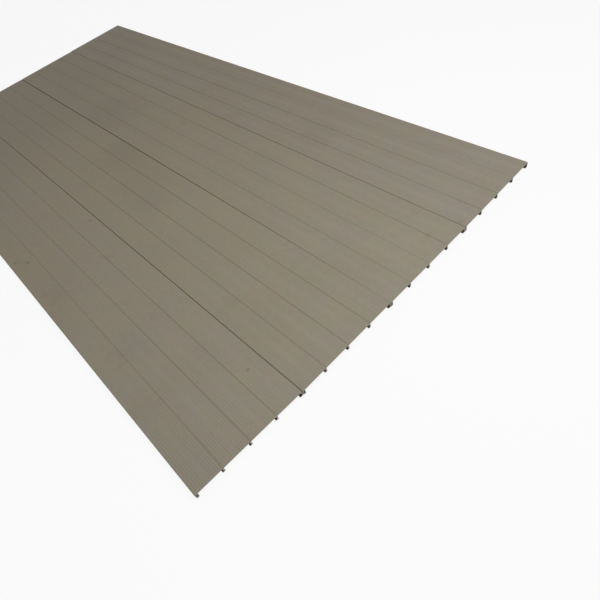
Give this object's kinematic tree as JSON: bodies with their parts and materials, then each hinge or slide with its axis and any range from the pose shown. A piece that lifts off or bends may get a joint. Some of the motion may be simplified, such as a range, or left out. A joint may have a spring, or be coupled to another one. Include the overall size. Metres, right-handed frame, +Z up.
{
  "type": "aluminium decking panel",
  "caption": "Flat decking panel of interlocking extruded planks with shallow grooves along the top and low legs underneath.",
  "frame": {"origin": "middle of the panel's base, on the floor under its feet", "axes": "+X across the planks, +Y along the planks away from the cut end shown in the picture, +Z up through the top face"},
  "size_m": [1.2074, 2.4054, 0.017],
  "materials": {
    "coated_plank": "matte khaki-taupe coating on extruded aluminium"
  },
  "bodies": {
    "root": {"plank_1": "coated_plank", "plank_2": "coated_plank", "plank_3": "coated_plank", "plank_4": "coated_plank"}
  },
  "joints": []
}
